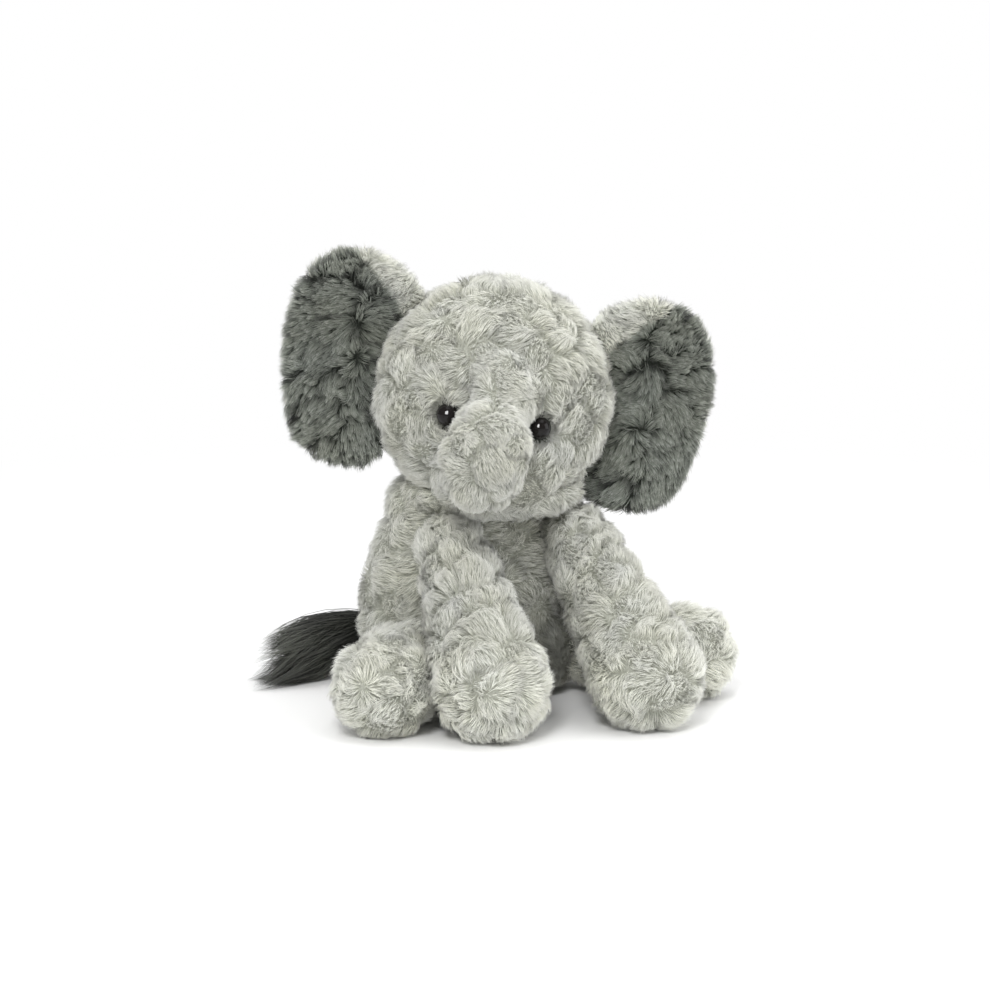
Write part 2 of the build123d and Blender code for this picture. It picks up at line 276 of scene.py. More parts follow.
def backing_material(name, dark, light):
    """Skin under the pile: the dense roots of the fibres."""
    result, tree, shader = material(name)
    coarse = texture_place(tree, 120)
    fine = texture_place(tree, 900)
    blend = maths(tree, "MULTIPLY_ADD", coarse.outputs["Fac"], 0.5, 0)
    blend = maths(tree, "MULTIPLY_ADD", fine.outputs["Fac"], 0.5, blend)
    tree.links.new(ramp(tree, blend, ((0.3, dark), (0.7, light))), shader.inputs["Base Color"])
    bump = tree.nodes.new("ShaderNodeBump")
    bump.inputs["Distance"].default_value = 0.6 * MM
    tree.links.new(fine.outputs["Fac"], bump.inputs["Height"])
    tree.links.new(bump.outputs["Normal"], shader.inputs["Normal"])
    shader.inputs["Roughness"].default_value = 0.95
    shader.inputs["Specular IOR Level"].default_value = 0.1
    return result


LIGHT_COOL = (
    (0.0, srgb(150, 152, 140)),
    (0.3, srgb(196, 198, 188)),
    (0.65, srgb(220, 221, 214)),
    (1.0, srgb(229, 230, 225)),
)
LIGHT_WARM = (
    (0.0, srgb(150, 151, 132)),
    (0.3, srgb(197, 198, 182)),
    (0.65, srgb(220, 220, 207)),
    (1.0, srgb(229, 229, 220)),
)
DARK_COOL = (
    (0.0, srgb(46, 49, 45)),
    (0.35, srgb(86, 90, 84)),
    (0.7, srgb(130, 135, 127)),
    (1.0, srgb(200, 204, 196)),
)
DARK_WARM = (
    (0.0, srgb(48, 51, 45)),
    (0.35, srgb(92, 96, 86)),
    (0.7, srgb(136, 140, 129)),
    (1.0, srgb(205, 208, 196)),
)
TAIL_COOL = (
    (0.0, srgb(26, 26, 25)),
    (0.5, srgb(50, 50, 48)),
    (1.0, srgb(98, 99, 96)),
)
TAIL_WARM = (
    (0.0, srgb(30, 31, 28)),
    (0.5, srgb(62, 64, 58)),
    (1.0, srgb(112, 114, 106)),
)

light_pile = pile_material("light_pile", LIGHT_COOL, LIGHT_WARM)
dark_pile = pile_material("dark_pile", DARK_COOL, DARK_WARM, spread=0.4, locks=(1.0, 0.2))
tail_pile = pile_material("tail_pile", TAIL_COOL, TAIL_WARM, roughness=0.38, sheen=0.0, spread=1.0,
                          locks=(0.9, 0.5))
light_backing = backing_material("light_backing", srgb(134, 136, 124), srgb(184, 185, 175))
dark_backing = backing_material("dark_backing", srgb(34, 37, 33), srgb(64, 67, 61))


def eye_material():
    """Polished black plastic with a faint brown depth."""
    result, tree, shader = material("eye_black")
    noise = texture_place(tree, 700)
    tree.links.new(
        ramp(tree, noise.outputs["Fac"], ((0.3, srgb(10, 9, 9)), (0.8, srgb(16, 14, 13)))),
        shader.inputs["Base Color"],
    )
    shader.inputs["Roughness"].default_value = 0.05
    shader.inputs["Specular IOR Level"].default_value = 0.2
    return result


def fibrefill_material():
    """Loose white polyester fibre."""
    result, tree, shader = material("fibrefill")
    noise = texture_place(tree, 260)
    noise.inputs["Distortion"].default_value = 1.5
    tree.links.new(
        ramp(tree, noise.outputs["Fac"], ((0.3, srgb(214, 214, 208)), (0.7, srgb(246, 246, 242)))),
        shader.inputs["Base Color"],
    )
    bump = tree.nodes.new("ShaderNodeBump")
    bump.inputs["Distance"].default_value = 1.0 * MM
    tree.links.new(noise.outputs["Fac"], bump.inputs["Height"])
    tree.links.new(bump.outputs["Normal"], shader.inputs["Normal"])
    shader.inputs["Roughness"].default_value = 0.95
    return result


def woven_material(name, dark, light, pitch):
    """Plain weave or twisted thread."""
    result, tree, shader = material(name)
    place = tree.nodes.new("ShaderNodeTexCoord")
    threads = []
    for axis in ("X", "Y"):
        wave = tree.nodes.new("ShaderNodeTexWave")
        wave.bands_direction = axis
        wave.inputs["Scale"].default_value = 1 / (pitch * 20)
        tree.links.new(place.outputs["Object"], wave.inputs["Vector"])
        threads.append(wave.outputs["Fac"])
    weave = maths(tree, "MAXIMUM", *threads)
    tree.links.new(ramp(tree, weave, ((0.2, dark), (0.9, light))), shader.inputs["Base Color"])
    bump = tree.nodes.new("ShaderNodeBump")
    bump.inputs["Distance"].default_value = 0.2 * MM
    tree.links.new(weave, bump.inputs["Height"])
    tree.links.new(bump.outputs["Normal"], shader.inputs["Normal"])
    shader.inputs["Roughness"].default_value = 0.85
    return result


def moulded_material(name, dark, light, roughness):
    """Moulded plastic with a slight mottle."""
    result, tree, shader = material(name)
    noise = texture_place(tree, 400)
    tree.links.new(ramp(tree, noise.outputs["Fac"], ((0.3, dark), (0.7, light))), shader.inputs["Base Color"])
    shader.inputs["Roughness"].default_value = roughness
    return result


def dress_inner_parts():
    """Materials for the CAD parts that stay: eyes, filling, pouch, pellets, washers and thread."""
    eye = eye_material()
    fill = fibrefill_material()
    cloth = woven_material("pouch_cloth", srgb(176, 174, 165), srgb(224, 222, 214), 0.5 * MM)
    thread = woven_material("twisted_thread", srgb(96, 98, 90), srgb(150, 151, 141), 0.4 * MM)
    pellet = moulded_material("pellet_plastic", srgb(206, 206, 198), srgb(232, 232, 226), 0.45)
    washer = moulded_material("washer_plastic", srgb(184, 184, 178), srgb(206, 206, 200), 0.5)
    by_slot = {
        "eye": eye, "stuffing": fill, "pouch_cloth": cloth, "thread": thread, "pellet": pellet,
        "washer": washer, "light_plush": light_backing, "dark_plush": dark_backing,
        "tail_hair": tail_pile,
    }
    for part in frame["record"]["subparts"]:
        mesh = nodes[part["node"]].data
        mesh.materials.clear()
        mesh.materials.append(by_slot[part["material_slot"]])


# ---------------------------------------------------------------- skins


def joined_mesh(names):
    """One mesh of several CAD nodes."""
    build = bmesh.new()
    for name in names:
        build.from_mesh(nodes[name].data)
    mesh = bpy.data.meshes.new("joined")
    build.to_mesh(mesh)
    build.free()
    return mesh


def hull_mesh(names):
    """Tight round cover over some CAD nodes."""
    build = bmesh.new()
    for name in names:
        build.from_mesh(nodes[name].data)
    bmesh.ops.remove_doubles(build, verts=build.verts, dist=0.8 * MM)
    result = bmesh.ops.convex_hull(build, input=build.verts)
    inside = set(result["geom_interior"]) | set(result["geom_unused"])
    bmesh.ops.delete(build, geom=[g for g in inside if isinstance(g, bmesh.types.BMVert)], context="VERTS")
    hull_faces = set(g for g in result["geom"] if isinstance(g, bmesh.types.BMFace))
    extra = [f for f in build.faces if f not in hull_faces]
    bmesh.ops.delete(build, geom=extra, context="FACES_ONLY")
    bmesh.ops.recalc_face_normals(build, faces=build.faces)
    mesh = bpy.data.meshes.new("hull")
    build.to_mesh(mesh)
    build.free()
    return mesh


def even_skin(name, mesh, voxel, smooth):
    """Evenly meshed, softened copy of a closed shape."""
    thing = new_object(name, mesh)
    remesh = thing.modifiers.new("even", "REMESH")
    remesh.mode = "VOXEL"
    remesh.voxel_size = voxel
    soften = thing.modifiers.new("soften", "SMOOTH")
    soften.iterations = smooth
    soften.factor = 0.5
    baked(thing)
    return thing


class Patches:
    """Pattern pressed into the pile: patches that each lie their own way, with creases between."""

    def __init__(self, skin, rng, spacing=PATCH):
        candidates, _ = scatter(skin.data, PATCH_TRIES, rng)
        sizes = rng.uniform(*PATCH_SIZES, len(candidates))
        chosen = []
        for index, point in enumerate(candidates):
            apart = np.linalg.norm(candidates[chosen] - point, axis=1)
            if (apart > spacing * (sizes[chosen] + sizes[index]) / 2).all():
                chosen.append(index)
        self.centres = candidates[chosen]
        self.sizes = sizes[chosen]
        self.inward = np.where(rng.random(len(chosen)) < 0.75, -0.55, 0.45)
        self.twist = rng.uniform(-0.8, 0.8, len(chosen))
        self.lie = unit(rng.normal(size=(len(chosen), 3)))
        self.depth = rng.uniform(-0.5, 1.5, len(chosen))
        self.spacing = spacing

    def nearest(self, points):
        """Nearest patch to each point, its distance, and how much further the second one is."""
        index = np.empty(len(points), int)
        first = np.empty(len(points))
        second = np.empty(len(points))
        for start in range(0, len(points), CHUNK):
            part = slice(start, start + CHUNK)
            distance = np.linalg.norm(points[part, None, :] - self.centres[None], axis=2) / self.sizes
            order = np.argpartition(distance, 1, axis=1)[:, :2]
            two = np.take_along_axis(distance, order, 1)
            rank = np.argmin(two, axis=1)
            index[part] = np.take_along_axis(order, rank[:, None], 1)[:, 0]
            first[part] = two.min(1)
            second[part] = two.max(1)
        return index, first, second - first

    def height(self, points):
        """1 on a patch, falling to 0 in the crease between two patches."""
        _, _, margin = self.nearest(points)
        return smoothstep(-0.1 * self.spacing, 0.8 * self.spacing, margin)

    def parting(self, points):
        """1 in a crease where the pile parts, 0 away from it; some creases hardly part. Used to paint shade into
        the creases.
        """
        index, _, margin = self.nearest(points)
        depth = np.clip(self.depth[index], 0.1, 1)
        return depth * (1 - smoothstep(0.02 * self.spacing, 0.3 * self.spacing, margin))

    def flow(self, points, normals):
        """Direction the pile turns in at each point, and how upright it is."""
        index, distance, _ = self.nearest(points)
        away = points - self.centres[index]
        away = away - normals * (away * normals).sum(1, keepdims=True)
        lie = self.lie[index]
        lie = unit(lie - normals * (lie * normals).sum(1, keepdims=True))
        angle = self.twist[index][:, None]
        turned = np.cos(angle) * away + np.sin(angle) * np.cross(normals, away)
        reach = np.clip(distance / (0.35 * self.spacing), 0, 1)[:, None]
        upright = 1 - smoothstep(0, 0.3 * self.spacing, distance)
        return 0.8 * lie + unit(turned) * self.inward[index][:, None] * reach, upright


def add_relief(thing, patches, amount):
    """Raises the skin at each patch and lowers it in the creases between them."""
    mesh = thing.data
    points = vertices_of(mesh)
    lift = (patches.height(points) - 0.3) * amount
    points = points + normals_of(mesh) * lift[:, None]
    set_vertices(mesh, np.maximum(points, (-1, -1, FLOOR_CLEARANCE)))


def draw_in(thing, depth):
    """Moves a skin inwards."""
    mesh = thing.data
    set_vertices(mesh, vertices_of(mesh) - normals_of(mesh) * depth)


def surface_of(name):
    """Search tree over a CAD node's faces."""
    mesh = nodes[name].data
    return BVHTree.FromPolygons([v.co for v in mesh.vertices], [tuple(p.vertices) for p in mesh.polygons])


def nearer_to(first, second):
    """Test that says which points lie nearer to one CAD node than to another."""
    near, far = surface_of(first), surface_of(second)

    def test(points):
        return np.array([near.find_nearest(p)[3] < far.find_nearest(p)[3] for p in points.tolist()])

    return test


def seam_points(thing, panels):
    """Indices of the skin's vertices that lie where two of its panels meet."""
    trees = [surface_of(name) for name in panels]
    found = []
    for vertex in thing.data.vertices:
        near = 0
        for tree in trees:
            near += tree.find_nearest(vertex.co, INSET + SEAM_REACH)[0] is not None
        if near > 1:
            found.append(vertex.index)
    return found


def swell(skins):
    """Blows every skin up with cloth pressure, held at its seams, and keeps the result."""
    for thing, panels in skins:
        group = thing.vertex_groups.new(name="seams")
        group.add(seam_points(thing, panels), 1.0, "REPLACE")
        cloth = thing.modifiers.new("air", "CLOTH")
        settings = cloth.settings
        settings.quality = 4
        settings.mass = 0.2
        settings.tension_stiffness = 12
        settings.compression_stiffness = 12
        settings.shear_stiffness = 6
        settings.bending_stiffness = 0.6
        settings.use_pressure = True
        settings.uniform_pressure_force = PRESSURE
        settings.effector_weights.gravity = 0
        settings.vertex_group_mass = "seams"
        cloth.point_cache.frame_start = 1
        cloth.point_cache.frame_end = SIM_FRAMES
    for frame_number in range(1, SIM_FRAMES + 1):
        bpy.context.scene.frame_set(frame_number)
    graph = bpy.context.evaluated_depsgraph_get()
    blown = [vertices_of(thing.evaluated_get(graph).data) for thing, _ in skins]
    for (thing, _), after in zip(skins, blown):
        before = vertices_of(thing.data)
        move = after - before
        length = np.linalg.norm(move, axis=1, keepdims=True)
        move *= np.minimum(1, SWELL_LIMIT / np.maximum(length, 1e-9))
        thing.modifiers.clear()
        set_vertices(thing.data, before + move)
        soften = thing.modifiers.new("soften", "SMOOTH")
        soften.iterations = 2
        baked(thing)
    bpy.context.scene.frame_set(1)


def finish_skin(thing, body, covering, replaced):
    """Gives a skin its material, its body and the CAD nodes it stands for."""
    thing.data.materials.clear()
    thing.data.materials.append(covering)
    thing.data.shade_smooth()
    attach(thing, body)
    if replaced:
        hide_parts(*replaced)


# ---------------------------------------------------------------- pile


def scatter(mesh, count, rng, weight=None):
    """Random points on a mesh, with their normals. weight says how densely each point is covered."""
    mesh.calc_loop_triangles()
    corners = np.empty(len(mesh.loop_triangles) * 3, np.int32)
    mesh.loop_triangles.foreach_get("vertices", corners)
    corners = corners.reshape(-1, 3)
    points = vertices_of(mesh)
    normals = normals_of(mesh)
    a, b, c = (points[corners[:, i]] for i in range(3))
    area = np.linalg.norm(np.cross(b - a, c - a), axis=1)
    if weight is not None:
        area = area * weight((a + b + c) / 3, unit(np.cross(b - a, c - a)))
    chosen = rng.choice(len(area), count, p=area / area.sum())
    u = rng.random(count)
    v = rng.random(count)
    over = u + v > 1
    u[over] = 1 - u[over]
    v[over] = 1 - v[over]
    share = np.stack([1 - u - v, u, v], 1)
    tri = corners[chosen]
    roots = (points[tri] * share[..., None]).sum(1)
    return roots, unit((normals[tri] * share[..., None]).sum(1))


def lay(patches, roots, normals, comb, whorl):
    """Direction in which the pile lies at each root, and how upright it stands."""
    turned, upright = patches.flow(roots, normals)
    flow = turned * whorl + comb
    flow = flow - normals * (flow * normals).sum(1, keepdims=True)
    return unit(flow), upright


def curves(roots, normals, flow, length, lean, rings):
    """Centre line of each fibre: it leaves the skin steeply and lies over towards its tip."""
    line = np.empty((len(roots), rings + 1, 3))
    line[:, 0] = roots - normals * SINK
    step = (length / rings)[:, None]
    for ring in range(rings):
        tilt = (lean * (0.45 + 0.75 * ring / max(rings - 1, 1)))[:, None]
        line[:, ring + 1] = line[:, ring] + step * (np.cos(tilt) * normals + np.sin(tilt) * flow)
    return line


def gather(line, roots, locks, lock_line, pull):
    """Draws each fibre towards its nearest lock. Returns the lines and each fibre's lock."""
    tree = KDTree(len(locks))
    for index, place in enumerate(locks):
        tree.insert(place, index)
    tree.balance()
    nearest = np.array([tree.find(place)[1] for place in roots])
    rings = line.shape[1]
    strength = (pull * np.linspace(0, 1, rings) ** 1.2)[None, :, None]
    return line * (1 - strength) + lock_line[nearest] * strength, nearest


def fibre_points(line, normals, width):
    """Corner points of each fibre: three round every ring and one at the tip."""
    count, rings = line.shape[0], line.shape[1] - 1
    ahead = unit(np.diff(line, axis=1))
    side = unit(np.cross(ahead, normals[:, None, :]))
    rise = np.cross(side, ahead)
    taper = 1 - 0.75 * (np.arange(rings) / rings) ** 2
    points = np.empty((count, 3 * rings + 1, 3), np.float32)
    for corner in range(3):
        angle = pi / 2 + corner * 2 * pi / 3
        reach = (width[:, None] / 2 * taper[None, :])[..., None]
        points[:, corner:3 * rings:3] = line[:, :-1] + reach * (cos(angle) * side + sin(angle) * rise)
    points[:, -1] = line[:, -1]
    np.maximum(points[..., 2], FLOOR_CLEARANCE, out=points[..., 2])
    return points


def fibre_faces(rings):
    """Corners of one fibre's faces, end to end, and how many corners each face has."""
    quads = []
    for ring in range(rings - 1):
        for corner in range(3):
            following = (corner + 1) % 3
            low = ring * 3
            quads.append((low + corner, low + 3 + corner, low + 3 + following, low + following))
    last = 3 * (rings - 1)
    tip = 3 * rings
    tris = [(last + (corner + 1) % 3, last + corner, tip) for corner in range(3)]
    tris.append((0, 1, 2))
    pattern = np.array([v for face in quads + tris for v in face], np.int32)
    return pattern, np.array([4] * len(quads) + [3] * len(tris), np.int32)


def soft_normals(points, line, normals):
    """Shading normals of the fibres, part way to those of the skin under them."""
    centres = np.repeat(line[:, :1], points.shape[1], axis=1)
    centres[:, :-1] = np.repeat(line[:, :-1], 3, axis=1)
    outward = unit(points - centres)
    outward[:, -1] = unit(line[:, -1] - line[:, -2])
    return unit(outward * (1 - SOFTNESS) + normals[:, None, :] * SOFTNESS)


def fibre_mesh(name, line, normals, width, own, lock):
    """Closed three-sided fibres along their centre lines, in one mesh."""
    count, rings = line.shape[0], line.shape[1] - 1
    points = fibre_points(line, normals, width)
    pattern, sizes = fibre_faces(rings)
    per_fibre = 3 * rings + 1
    corners = (pattern[None, :] + np.arange(count, dtype=np.int32)[:, None] * per_fibre).ravel()
    all_sizes = np.tile(sizes, count)
    starts = np.concatenate([[0], np.cumsum(all_sizes)[:-1]]).astype(np.int32)
    mesh = bpy.data.meshes.new(name)
    mesh.vertices.add(count * per_fibre)
    mesh.loops.add(len(corners))
    mesh.polygons.add(len(all_sizes))
    mesh.vertices.foreach_set("co", points.ravel())
    mesh.loops.foreach_set("vertex_index", corners)
    mesh.polygons.foreach_set("loop_start", starts)
    mesh.polygons.foreach_set("use_smooth", np.ones(len(all_sizes), bool))

    along = np.append(np.repeat(np.arange(rings) / rings, 3), 1.0)
    colour = np.ones((count, per_fibre, 4), np.float32)
    # Channels: place along the fibre, the fibre's own random tone, and the lock's value, which carries painted
    # shade and painted light.
    colour[..., 0] = along
    colour[..., 1] = own[:, None]
    colour[..., 2] = lock[:, None]
    mesh.attributes.new("fibre", "FLOAT_COLOR", "POINT").data.foreach_set("color", colour.ravel())
    soft = soft_normals(points, line, normals).astype(np.float32)
    mesh.attributes.new("custom_normal", "FLOAT_VECTOR", "POINT").data.foreach_set("vector", soft.ravel())

    layout = mesh.uv_layers.new(name="OFBake")
    column = own[:, None] * 0.98 + 0.01 + np.tile((pattern % 3) * 0.002, (count, 1))
    row = np.tile(along[pattern] * 0.98 + 0.01, (count, 1))
    layout.data.foreach_set("uv", np.stack([column, row], -1).astype(np.float32).ravel())
    mesh.update(calc_edges=True)
    mesh.validate()
    return mesh


def eye_clearing(roots, normals, flow, length):
    """Shortens the pile round each eye and combs it away from the eye."""
    keep = np.ones(len(roots), bool)
    for eye in EYES:
        away = roots - eye
        distance = np.linalg.norm(away, axis=1)
        near = 1 - smoothstep(*EYE_RING, distance)
        away = away - normals * (away * normals).sum(1, keepdims=True)
        flow = unit(flow * (1 - near[:, None]) + unit(away) * near[:, None] * 1.4)
        length = length * (1 - 0.55 * near)
        keep &= distance > EYE_EDGE
    return keep, flow, length


def head_gap(places):
    """How far places are from the head's surface."""
    return np.linalg.norm(places - HEAD, axis=1) - HEAD_RADIUS


def eye_distance(places):
    """How far places are from the nearer eye."""
    return np.min([np.linalg.norm(places - eye, axis=1) for eye in EYES], axis=0)


def eye_painted_shade(roots):
    """Pile right beside an eye darkened: painted shade round the eye."""
    return smoothstep(6 * MM, 10.5 * MM, eye_distance(roots)) * 1.3 - 1.3


def belly_painted_shade(roots):
    """Pile low on the belly, in the gap between the forelegs, darkened: painted shade where the belly is shaded.
    """
    low = 1 - smoothstep(35 * MM, 80 * MM, roots[:, 2])
    front = smoothstep(15 * MM, 35 * MM, -roots[:, 1])
    return -0.9 * low * front


def foot_painted_light(roots):
    """Pile low on the legs made paler: painted light from the floor's bounce."""
    return 0.65 * (1 - smoothstep(15 * MM, 60 * MM, roots[:, 2]))


def grow(name, body, skin, patches, count, look, rng, comb, whorl=1.0, weight=None, pile=PILE,
         lean=1.08, pull=0.45, clear_eyes=False, lock_size=LOCK_SIZE, painted_light_and_shade=None):
    """Grows pile on a skin and rides it on the skin's body."""
    width = FIBRE
    mesh = skin.data
    roots, normals = scatter(mesh, count, rng, weight)
    locks, lock_normals = scatter(mesh, max(count // lock_size, 8), rng, weight)

    def directions(places, place_normals):
        flow, upright = lay(patches, places, place_normals, comb(places, place_normals), whorl)
        length = pile * rng.uniform(*LENGTHS, len(places))
        tilt = lean * (1 - 0.3 * upright) * rng.uniform(0.85, 1.1, len(places))
        keep = np.ones(len(places), bool)
        if clear_eyes:
            keep, flow, length = eye_clearing(places, place_normals, flow, length)
        if body not in ("head", "trunk", "neck"):
            length = length * (0.3 + 0.7 * smoothstep(0, HEAD_ROOM, head_gap(places)))
        return flow, length, tilt, keep

    flow, length, tilt, keep = directions(roots, normals)
    flow = unit(flow + rng.normal(size=flow.shape) * UNTIDY)
    lock_flow, lock_length, lock_tilt, _ = directions(locks, lock_normals)
    line = curves(roots, normals, flow, length, tilt, FIBRE_STEPS)
    lock_line = curves(locks, lock_normals, lock_flow, lock_length, lock_tilt, FIBRE_STEPS)
    line, nearest = gather(line, roots, locks, lock_line, pull)
    # Each lock gets a random tone, and locks in the creases where the pile parts are darkened: painted shade.
    lock_shade = 0.3 * rng.random(len(locks)) + 0.7 - 0.8 * patches.parting(locks)
    own = rng.random(count)
    shade = lock_shade[nearest]
    # Painted shade and painted light are added to the locks' values here.
    if painted_light_and_shade is not None:
        shade = np.maximum(shade + painted_light_and_shade(roots), DARKEST)
    thickness = width * rng.uniform(0.75, 1.25, count)
    fibres = fibre_mesh(name, line[keep], normals[keep], thickness[keep], own[keep], shade[keep])
    fibres.materials.append(look)
    thing = new_object(name, fibres)
    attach(thing, body)


# ---------------------------------------------------------------- the toy

TORSO_PANELS = ("torso_belly_panel", "torso_left_panel", "torso_right_panel", "torso_seat_panel")
HEAD_PANELS = ("head_gusset", "throat_panel", "head_left_panel", "head_right_panel")
TRUNK_PANELS = ("trunk_left_panel", "trunk_right_panel")
LEG_NAMES = ("left_foreleg", "right_foreleg", "left_hindleg", "right_hindleg")


def leg_panels(name):
    """CAD nodes of a leg's skin."""
    return [f"{name}_{part}" for part in ("outer_panel", "inner_panel", "sole")]


def ear_parts(side):
    """CAD nodes of an ear: lining, back and padding."""
    return [f"{side}_ear_{part}" for part in ("lining", "back", "padding")]


def head_point(right, forward, up):
    """Point given from the head's centre: to the toy's left, forward and up."""
    return HEAD + (HEAD_SIDE * right + FACE * forward + HEAD_UP * up) * MM


def add_ball(mesh, centre, radius):
    """Adds a ball to a mesh, for a remesh to join."""
    build = bmesh.new()
    build.from_mesh(mesh)
    ball = bmesh.ops.create_icosphere(build, subdivisions=3, radius=radius)
    bmesh.ops.translate(build, verts=ball["verts"], vec=centre)
    build.to_mesh(mesh)
    build.free()


def head_shape():
    """Round head with a low jaw and a slightly raised crown."""
    mesh = hull_mesh(HEAD_PANELS)
    add_ball(mesh, head_point(-3, 30, -34), 28 * MM)
    add_ball(mesh, head_point(12, 30, -30), 28 * MM)
    add_ball(mesh, head_point(0, -4, 5), 57 * MM)
    for sideways in (-1, 1):
        add_ball(mesh, head_point(4 * sideways, 2, -2), HEAD_RADIUS - 2.5 * MM)
    return mesh


def trunk_shape():
    """Trunk wider than it is deep, with a broad bridge up the face; its tip sags to one side."""
    mesh = joined_mesh(("trunk_stuffing",))
    add_ball(mesh, head_point(4, 54, 7), 16.5 * MM)
    add_ball(mesh, head_point(1, 51, 14), 15 * MM)
    points = vertices_of(mesh)
    middle = points.mean(0)
    across = (points - middle) @ HEAD_SIDE
    low = smoothstep(-5 * MM, 25 * MM, (joint_point("trunk_lift") - points) @ HEAD_UP)
    set_vertices(mesh, points + HEAD_SIDE * ((across * 0.25 - 3.5 * MM) * low)[:, None]
                 - HEAD_UP * (3 * MM * low)[:, None])
    return mesh


def make_skins():
    """Every sewn skin, evenly meshed and swelled."""
    skins = {}
    skins["torso"] = even_skin("torso_skin", hull_mesh(TORSO_PANELS), VOXEL, 6)
    skins["head"] = even_skin("head_skin", head_shape(), VOXEL, 6)
    skins["trunk"] = even_skin("trunk_skin", trunk_shape(), VOXEL * 0.8, 2)
    for name in LEG_NAMES:
        skins[name] = even_skin(f"{name}_skin", hull_mesh(leg_panels(name)), VOXEL, 4)
    for side in ("left", "right"):
        skins[f"{side}_ear"] = even_skin(f"{side}_ear_skin", joined_mesh(ear_parts(side)), EAR_VOXEL, 5)
    for name in ("torso", "head", *LEG_NAMES):
        draw_in(skins[name], INSET)
    draw_in(skins["trunk"], -1.0 * MM)
    jobs = [(skins["torso"], TORSO_PANELS), (skins["head"], HEAD_PANELS), (skins["trunk"], TRUNK_PANELS)]
    jobs += [(skins[name], leg_panels(name)) for name in LEG_NAMES]
    swell(jobs)
    return skins


def steady(direction, strength=1.0):
    """Comb in one direction everywhere."""
    return lambda places, normals: np.tile(np.asarray(direction, float) * strength, (len(places), 1))


def build_torso(skin, rng):
    """Pear-shaped body."""
    patches = Patches(skin, rng)
    add_relief(skin, patches, RELIEF)
    points = vertices_of(skin.data)
    collar = smoothstep(100 * MM, 112 * MM, points[:, 2])[:, None]
    set_vertices(skin.data, points + normals_of(skin.data) * collar * COLLAR)
    finish_skin(skin, "torso", light_backing, TORSO_PANELS)

    def open_air(places, normals):
        buried = np.linalg.norm(places - HEAD, axis=1) < HEAD_RADIUS + 3 * MM
        return np.where(buried | (normals[:, 2] < -0.9), 0.0, 1.0)

    for side, sign in (("left", 1), ("right", -1)):
        grow(f"torso_{side}_pile", "torso", skin, patches, PIECE_FIBRES, light_pile, rng, steady(DOWN, 0.4),
             weight=lambda p, n, sign=sign: open_air(p, n) * (p[:, 0] * sign > 0), painted_light_and_shade=belly_painted_shade)


def build_head(skin, rng):
    """Round head with the pile parted round the eyes."""
    patches = Patches(skin, rng)
    add_relief(skin, patches, RELIEF)
    finish_skin(skin, "head", light_backing, HEAD_PANELS)
    middles = np.array([face.center for face in skin.data.polygons])
    # Skin faces within 8 mm of an eye take the dark backing: painted shade round the eyes.
    skin.data.materials.append(dark_backing)
    skin.data.polygons.foreach_set("material_index", (eye_distance(middles) < 8 * MM).astype(np.int32))

    def dense(places):
        return 1 + 2.0 * (eye_distance(places) < 10 * MM)

    regions = {
        "left": lambda p, n: ((p - HEAD) @ HEAD_SIDE > 20 * MM) * dense(p),
        "right": lambda p, n: ((p - HEAD) @ HEAD_SIDE < -20 * MM) * dense(p),
        "middle": lambda p, n: (abs((p - HEAD) @ HEAD_SIDE) <= 20 * MM) * dense(p),
    }
    for region, weight in regions.items():
        grow(f"head_{region}_pile", "head", skin, patches, PIECE_FIBRES, light_pile, rng, steady(DOWN, 0.25),
             weight=weight, clear_eyes=True, painted_light_and_shade=eye_painted_shade)


def build_neck(rng):
    """Gathered roll of plush between the head and the shoulders."""
    build = bmesh.new()
    ring_count, around = 14, 160
    rows = []
    for i in range(around):
        turn_angle = 2 * pi * i / around
        fold = 1 + 0.10 * sin(26 * turn_angle) + 0.05 * sin(11 * turn_angle + 1)
        row = []
        for j in range(ring_count):
            section = 2 * pi * j / ring_count
            reach = NECK_REACH + 5.5 * MM * fold * cos(section)
            tilt = NECK_ANGLE + (7.5 * MM * fold * sin(section)) / NECK_REACH
            row.append(build.verts.new((
                HEAD[0] + reach * sin(tilt) * cos(turn_angle),
                HEAD[1] + reach * sin(tilt) * sin(turn_angle),
                HEAD[2] - reach * cos(tilt),
            )))
        rows.append(row)
    for i in range(around):
        for j in range(ring_count):
            k, m = (i + 1) % around, (j + 1) % ring_count
            build.faces.new((rows[i][j], rows[k][j], rows[k][m], rows[i][m]))
    bmesh.ops.recalc_face_normals(build, faces=build.faces)
    mesh = bpy.data.meshes.new("neck_roll")
    build.to_mesh(mesh)
    build.free()
    skin = new_object("neck_roll", mesh)
    finish_skin(skin, "neck", light_backing, ())
    patches = Patches(skin, rng)
    grow("neck_pile", "neck", skin, patches, 9000, light_pile, rng, steady(DOWN, 0.7),
         weight=lambda p, n: (n @ DOWN > -0.8) * 1.0, pile=0.9 * PILE)


def build_trunk(skin, rng):
    """Thick trunk, hanging from the middle of the face."""
    patches = Patches(skin, rng, PATCH * 0.9)
    add_relief(skin, patches, 0.8 * RELIEF)
    finish_skin(skin, "trunk", light_backing, TRUNK_PANELS)
    grow("trunk_pile", "trunk", skin, patches, 19000, light_pile, rng, steady(-HEAD_UP, 0.7),
         pile=0.75 * PILE, clear_eyes=True, painted_light_and_shade=eye_painted_shade,
         weight=lambda p, n: (np.linalg.norm(p - HEAD, axis=1) > HEAD_RADIUS - 4 * MM) * 1.0)


